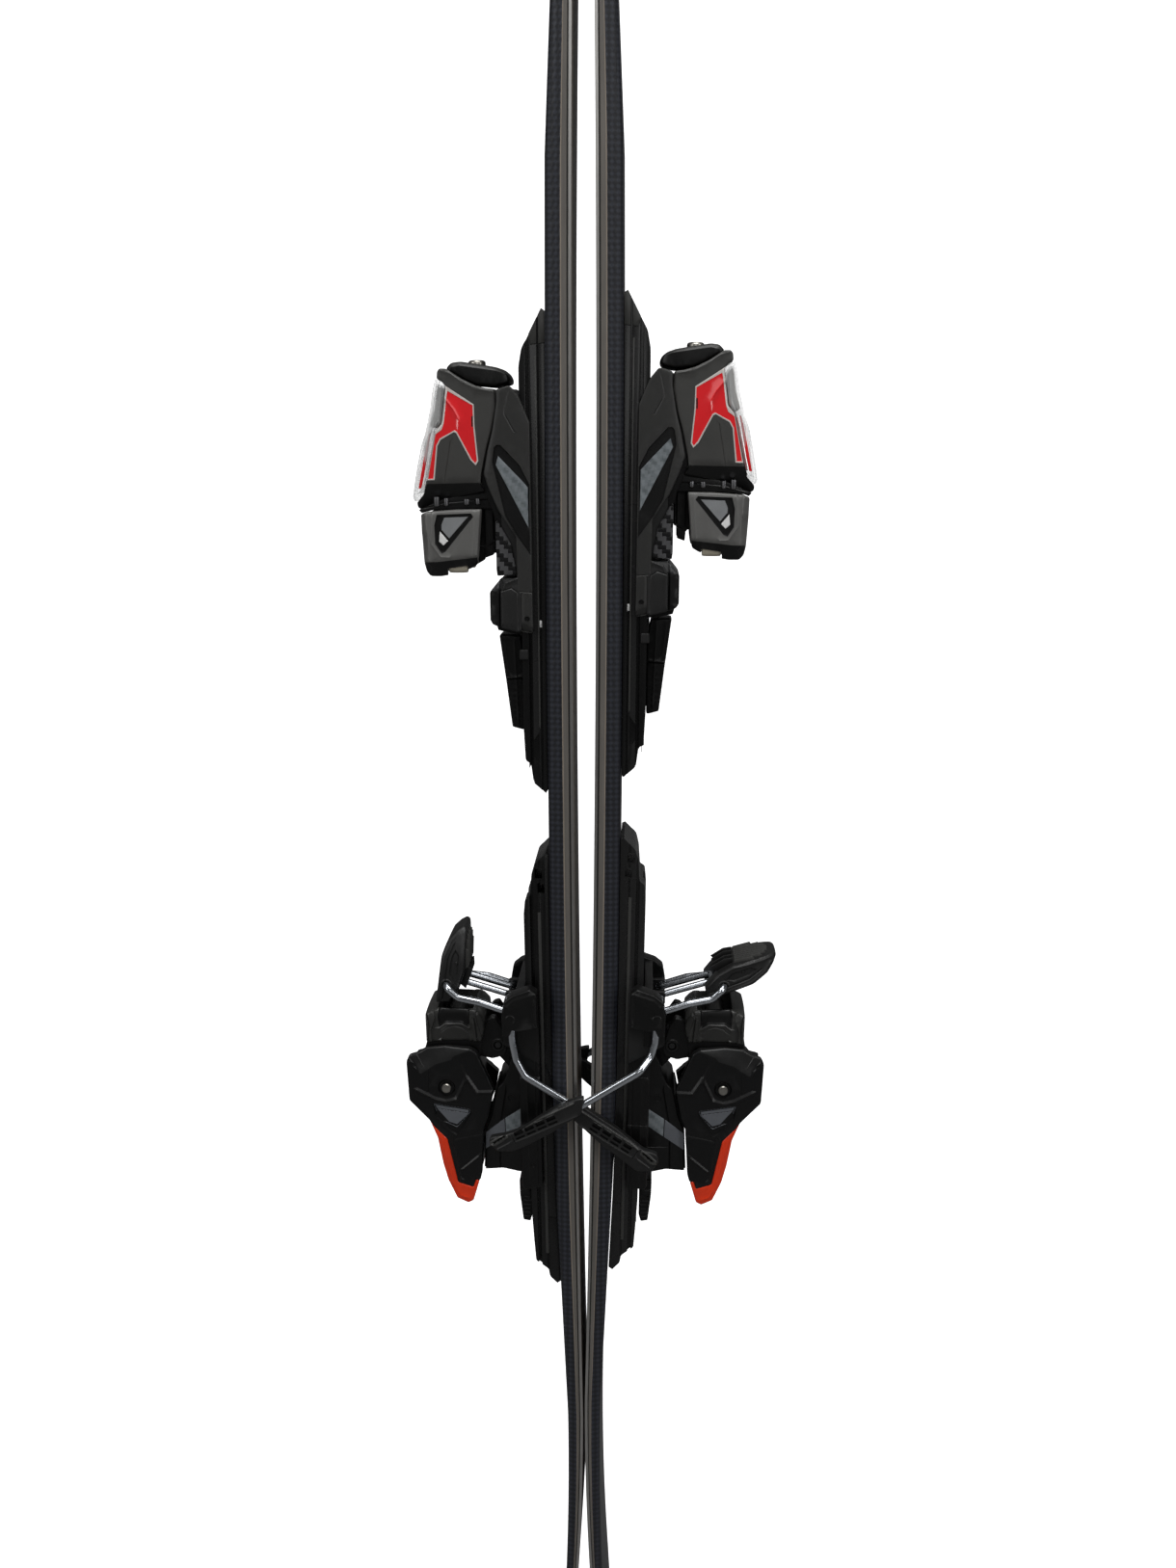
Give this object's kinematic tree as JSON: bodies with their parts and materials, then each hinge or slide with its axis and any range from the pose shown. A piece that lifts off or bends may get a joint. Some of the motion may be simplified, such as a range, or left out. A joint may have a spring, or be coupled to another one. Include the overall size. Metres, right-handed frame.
{
  "type": "alpine skis with bindings",
  "caption": "Pair of cambered alpine skis stood base to base, each with a rail-mounted toe piece, heel piece and ski brake that slide, hinge and spin.",
  "frame": {"origin": "centre of the left ski's tail end face, on which the pair stands", "axes": "+Z from tails to tips, +X from the left ski's topsheet side to the right ski's, +Y across the ski width away from the viewer"},
  "size_m": [0.279, 0.124, 1.612],
  "materials": {
    "ski_cap": "moulded cap with fine dimples, blue-black satin",
    "ski_base_plastic": "sintered polyethylene, waxed",
    "edge_steel": "ground edge steel",
    "black_plastic": "glass-filled nylon, satin black",
    "charcoal_plastic": "moulded nylon, fine grain",
    "wing_plastic": "moulded nylon, grained dark grey",
    "clear_lens": "clear polycarbonate",
    "roller_plastic": "cream acetal",
    "zinc_wire": "bright zinc-plated wire",
    "zinc_screw": "zinc-plated steel",
    "spring_steel": "oiled spring steel",
    "indicator_plastic": "orange acetal",
    "lever_plastic": "black nylon with an orange-red grip"
  },
  "bodies": {
    "left_ski": {"left_ski_core": "ski_cap", "left_ski_base": "ski_base_plastic", "left_edge_near": "edge_steel", "left_edge_far": "edge_steel", "left_toe_rail": "black_plastic", "left_heel_rail": "black_plastic"},
    "left_toe_unit": {"left_toe_base": "charcoal_plastic", "left_toe_housing": "charcoal_plastic", "left_toe_lens": "clear_lens", "left_toe_spring": "spring_steel"},
    "left_toe_lock": {"left_toe_lock_tongue": "black_plastic"},
    "left_wing_near": {"left_toe_wing_near": "wing_plastic"},
    "left_roller_near": {"left_toe_roller_near": "roller_plastic"},
    "left_wing_far": {"left_toe_wing_far": "wing_plastic"},
    "left_roller_far": {"left_toe_roller_far": "roller_plastic"},
    "left_rest": {"left_rest_pad": "black_plastic"},
    "left_toe_adjuster": {"left_toe_screw": "zinc_screw"},
    "left_indicator": {"left_toe_indicator": "indicator_plastic"},
    "left_heel_unit": {"left_heel_carriage": "charcoal_plastic", "left_heel_spring": "spring_steel", "left_brake_housing": "black_plastic"},
    "left_heel_lock": {"left_heel_lock_tongue": "black_plastic"},
    "left_heel_head": {"left_heel_cup": "charcoal_plastic", "left_lever_pin": "zinc_screw"},
    "left_opening_lever": {"left_heel_lever": "lever_plastic"},
    "left_brake": {"left_brake_wire": "zinc_wire", "left_brake_tip_near": "black_plastic", "left_brake_tip_far": "black_plastic"},
    "left_bail": {"left_brake_bail": "zinc_wire"},
    "left_treadle": {"left_brake_pedal": "black_plastic"},
    "right_ski": {"right_ski_core": "ski_cap", "right_ski_base": "ski_base_plastic", "right_edge_near": "edge_steel", "right_edge_far": "edge_steel", "right_toe_rail": "black_plastic", "right_heel_rail": "black_plastic"},
    "right_toe_unit": {"right_toe_base": "charcoal_plastic", "right_toe_housing": "charcoal_plastic", "right_toe_lens": "clear_lens", "right_toe_spring": "spring_steel"},
    "right_toe_lock": {"right_toe_lock_tongue": "black_plastic"},
    "right_wing_near": {"right_toe_wing_near": "wing_plastic"},
    "right_roller_near": {"right_toe_roller_near": "roller_plastic"},
    "right_wing_far": {"right_toe_wing_far": "wing_plastic"},
    "right_roller_far": {"right_toe_roller_far": "roller_plastic"},
    "right_rest": {"right_rest_pad": "black_plastic"},
    "right_toe_adjuster": {"right_toe_screw": "zinc_screw"},
    "right_indicator": {"right_toe_indicator": "indicator_plastic"},
    "right_heel_unit": {"right_heel_carriage": "charcoal_plastic", "right_heel_spring": "spring_steel", "right_brake_housing": "black_plastic"},
    "right_heel_lock": {"right_heel_lock_tongue": "black_plastic"},
    "right_heel_head": {"right_heel_cup": "charcoal_plastic", "right_lever_pin": "zinc_screw"},
    "right_opening_lever": {"right_heel_lever": "lever_plastic"},
    "right_brake": {"right_brake_wire": "zinc_wire", "right_brake_tip_near": "black_plastic", "right_brake_tip_far": "black_plastic"},
    "right_bail": {"right_brake_bail": "zinc_wire"},
    "right_treadle": {"right_brake_pedal": "black_plastic"}
  },
  "joints": [
    {"name": "left_toe_length_slide", "type": "slide", "parent": "left_ski", "child": "left_toe_unit", "axis": [-0.0079, 0, 1], "range_m": [-0.02, 0.02], "stiffness_N_per_m": 12000},
    {"name": "left_toe_lock_lift", "type": "hinge", "parent": "left_toe_unit", "child": "left_toe_lock", "pos_m": [-0.03493, 0, 0.81082], "axis": [0, 1, 0], "range_deg": [0, 8]},
    {"name": "left_wing_near_release", "type": "hinge", "parent": "left_toe_unit", "child": "left_wing_near", "pos_m": [-0.07563, -0.033, 0.89851], "axis": [-1, 0, -0.0079], "range_deg": [0, 30]},
    {"name": "left_roller_near_spin", "type": "hinge", "parent": "left_wing_near", "child": "left_roller_near", "pos_m": [-0.07435, -0.0265, 0.86401], "axis": [-1, 0, -0.0079], "continuous": true},
    {"name": "left_wing_far_release", "type": "hinge", "parent": "left_toe_unit", "child": "left_wing_far", "pos_m": [-0.07563, 0.033, 0.89851], "axis": [1, 0, 0.0079], "range_deg": [0, 30]},
    {"name": "left_roller_far_spin", "type": "hinge", "parent": "left_wing_far", "child": "left_roller_far", "pos_m": [-0.07435, 0.0265, 0.86401], "axis": [-1, 0, -0.0079], "continuous": true},
    {"name": "left_rest_pad_slide", "type": "slide", "parent": "left_toe_unit", "child": "left_rest", "axis": [0, 1, 0], "range_m": [-0.006, 0.006]},
    {"name": "left_toe_screw_turn", "type": "hinge", "parent": "left_toe_unit", "child": "left_toe_adjuster", "pos_m": [-0.06242, 0, 0.99861], "axis": [-0.0079, 0, 1], "range_deg": [-1440, 1440]},
    {"name": "left_indicator_travel", "type": "slide", "parent": "left_toe_unit", "child": "left_indicator", "axis": [-0.0079, 0, 1], "range_m": [-0.0061, 0.0061]},
    {"name": "left_heel_length_slide", "type": "slide", "parent": "left_ski", "child": "left_heel_unit", "axis": [-0.0187, 0, 0.9998], "range_m": [-0.02, 0.02], "stiffness_N_per_m": 12000},
    {"name": "left_heel_lock_lift", "type": "hinge", "parent": "left_heel_unit", "child": "left_heel_lock", "pos_m": [-0.03137, 0, 0.39058], "axis": [0, 1, 0], "range_deg": [0, 8]},
    {"name": "left_heel_step_in", "type": "hinge", "parent": "left_heel_unit", "child": "left_heel_head", "pos_m": [-0.05055, 0, 0.50724], "axis": [0, 1, 0], "range_deg": [0, 30]},
    {"name": "left_lever_rise", "type": "hinge", "parent": "left_heel_head", "child": "left_opening_lever", "pos_m": [-0.08858, 0, 0.47632], "axis": [0, 1, 0], "range_deg": [0, 10]},
    {"name": "left_brake_swing", "type": "hinge", "parent": "left_heel_unit", "child": "left_brake", "pos_m": [-0.0391, 0, 0.53646], "axis": [0, 1, 0], "range_deg": [0, 54]},
    {"name": "left_bail_swing", "type": "hinge", "parent": "left_heel_unit", "child": "left_bail", "pos_m": [-0.04121, 0, 0.54242], "axis": [0, 1, 0], "range_deg": [0, 66]},
    {"name": "left_treadle_tilt", "type": "hinge", "parent": "left_brake", "child": "left_treadle", "pos_m": [-0.08844, 0, 0.55454], "axis": [0, 1, 0], "range_deg": [-69, 0]},
    {"name": "ski_pair_separate", "type": "slide", "parent": "left_ski", "child": "right_ski", "axis": [1, 0, 0], "range_m": [0, 0.25]},
    {"name": "right_toe_length_slide", "type": "slide", "parent": "right_ski", "child": "right_toe_unit", "axis": [0.0079, 0, 1], "range_m": [-0.02, 0.02], "stiffness_N_per_m": 12000},
    {"name": "right_toe_lock_lift", "type": "hinge", "parent": "right_toe_unit", "child": "right_toe_lock", "pos_m": [0.06413, 0, 0.82282], "axis": [0, -1, 0], "range_deg": [0, 8]},
    {"name": "right_wing_near_release", "type": "hinge", "parent": "right_toe_unit", "child": "right_wing_near", "pos_m": [0.10483, -0.033, 0.91051], "axis": [-1, 0, 0.0079], "range_deg": [0, 30]},
    {"name": "right_roller_near_spin", "type": "hinge", "parent": "right_wing_near", "child": "right_roller_near", "pos_m": [0.10355, -0.0265, 0.87601], "axis": [1, 0, -0.0079], "continuous": true},
    {"name": "right_wing_far_release", "type": "hinge", "parent": "right_toe_unit", "child": "right_wing_far", "pos_m": [0.10483, 0.033, 0.91051], "axis": [1, 0, -0.0079], "range_deg": [0, 30]},
    {"name": "right_roller_far_spin", "type": "hinge", "parent": "right_wing_far", "child": "right_roller_far", "pos_m": [0.10355, 0.0265, 0.87601], "axis": [1, 0, -0.0079], "continuous": true},
    {"name": "right_rest_pad_slide", "type": "slide", "parent": "right_toe_unit", "child": "right_rest", "axis": [0, 1, 0], "range_m": [-0.006, 0.006]},
    {"name": "right_toe_screw_turn", "type": "hinge", "parent": "right_toe_unit", "child": "right_toe_adjuster", "pos_m": [0.09162, 0, 1.01061], "axis": [0.0079, 0, 1], "range_deg": [-1440, 1440]},
    {"name": "right_indicator_travel", "type": "slide", "parent": "right_toe_unit", "child": "right_indicator", "axis": [0.0079, 0, 1], "range_m": [-0.0061, 0.0061]},
    {"name": "right_heel_length_slide", "type": "slide", "parent": "right_ski", "child": "right_heel_unit", "axis": [0.0187, 0, 0.9998], "range_m": [-0.02, 0.02], "stiffness_N_per_m": 12000},
    {"name": "right_heel_lock_lift", "type": "hinge", "parent": "right_heel_unit", "child": "right_heel_lock", "pos_m": [0.06036, 0, 0.39158], "axis": [0, -1, 0], "range_deg": [0, 8]},
    {"name": "right_heel_step_in", "type": "hinge", "parent": "right_heel_unit", "child": "right_heel_head", "pos_m": [0.07955, 0, 0.50824], "axis": [0, -1, 0], "range_deg": [0, 30]},
    {"name": "right_lever_rise", "type": "hinge", "parent": "right_heel_head", "child": "right_opening_lever", "pos_m": [0.11757, 0, 0.47732], "axis": [0, -1, 0], "range_deg": [0, 10]},
    {"name": "right_brake_swing", "type": "hinge", "parent": "right_heel_unit", "child": "right_brake", "pos_m": [0.06809, 0, 0.53746], "axis": [0, -1, 0], "range_deg": [0, 54]},
    {"name": "right_bail_swing", "type": "hinge", "parent": "right_heel_unit", "child": "right_bail", "pos_m": [0.0702, 0, 0.54342], "axis": [0, -1, 0], "range_deg": [0, 66]},
    {"name": "right_treadle_tilt", "type": "hinge", "parent": "right_brake", "child": "right_treadle", "pos_m": [0.11744, 0, 0.55554], "axis": [0, -1, 0], "range_deg": [0, 8]}
  ],
  "couplings": [
    {"joint": "left_indicator_travel", "follows": "left_toe_screw_turn", "m_per_rad": 0.00023873},
    {"joint": "left_lever_rise", "follows": "left_heel_step_in", "ratio": 0.33333},
    {"joint": "left_brake_swing", "follows": "left_heel_step_in", "ratio": 1.8},
    {"joint": "left_bail_swing", "follows": "left_heel_step_in", "ratio": 2.2},
    {"joint": "left_treadle_tilt", "follows": "left_heel_step_in", "ratio": -2.3},
    {"joint": "right_indicator_travel", "follows": "right_toe_screw_turn", "m_per_rad": 0.00023873},
    {"joint": "right_lever_rise", "follows": "right_heel_step_in", "ratio": 0.33333},
    {"joint": "right_brake_swing", "follows": "right_heel_step_in", "ratio": 1.8},
    {"joint": "right_bail_swing", "follows": "right_heel_step_in", "ratio": 2.2},
    {"joint": "right_treadle_tilt", "follows": "right_heel_step_in", "ratio": 0.26667}
  ]
}
